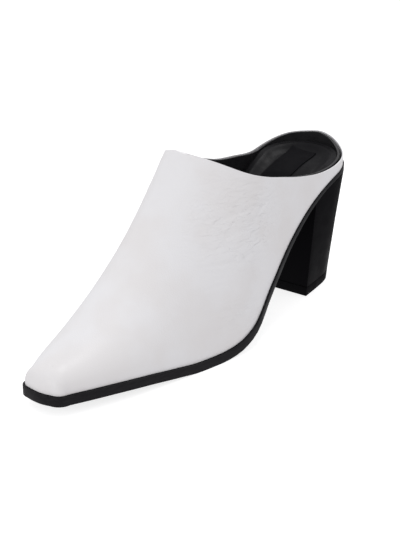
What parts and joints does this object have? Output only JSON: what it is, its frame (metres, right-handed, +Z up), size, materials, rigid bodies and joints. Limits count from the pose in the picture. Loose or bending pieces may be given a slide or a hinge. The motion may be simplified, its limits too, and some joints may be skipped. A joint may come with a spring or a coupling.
{
  "type": "heeled mule",
  "caption": "Backless closed-toe leather mule for the left foot with a snipped narrow toe, flat-edged sole and tall block heel.",
  "frame": {"origin": "middle of the shoe's bounding box in plan, on the floor that it stands on", "axes": "+Z up, -Y towards the toe, +X towards the outer side of the left foot"},
  "size_m": [0.0784, 0.264, 0.1125],
  "materials": {
    "white_leather": "soft sheen",
    "black_leather": "satin",
    "black_rubber": "matt",
    "black_heel": "leather covered, satin"
  },
  "bodies": {
    "root": {"upper": "white_leather", "outsole": "black_rubber", "insole": "black_leather", "heel": "black_heel", "top_piece": "black_rubber"}
  },
  "joints": []
}
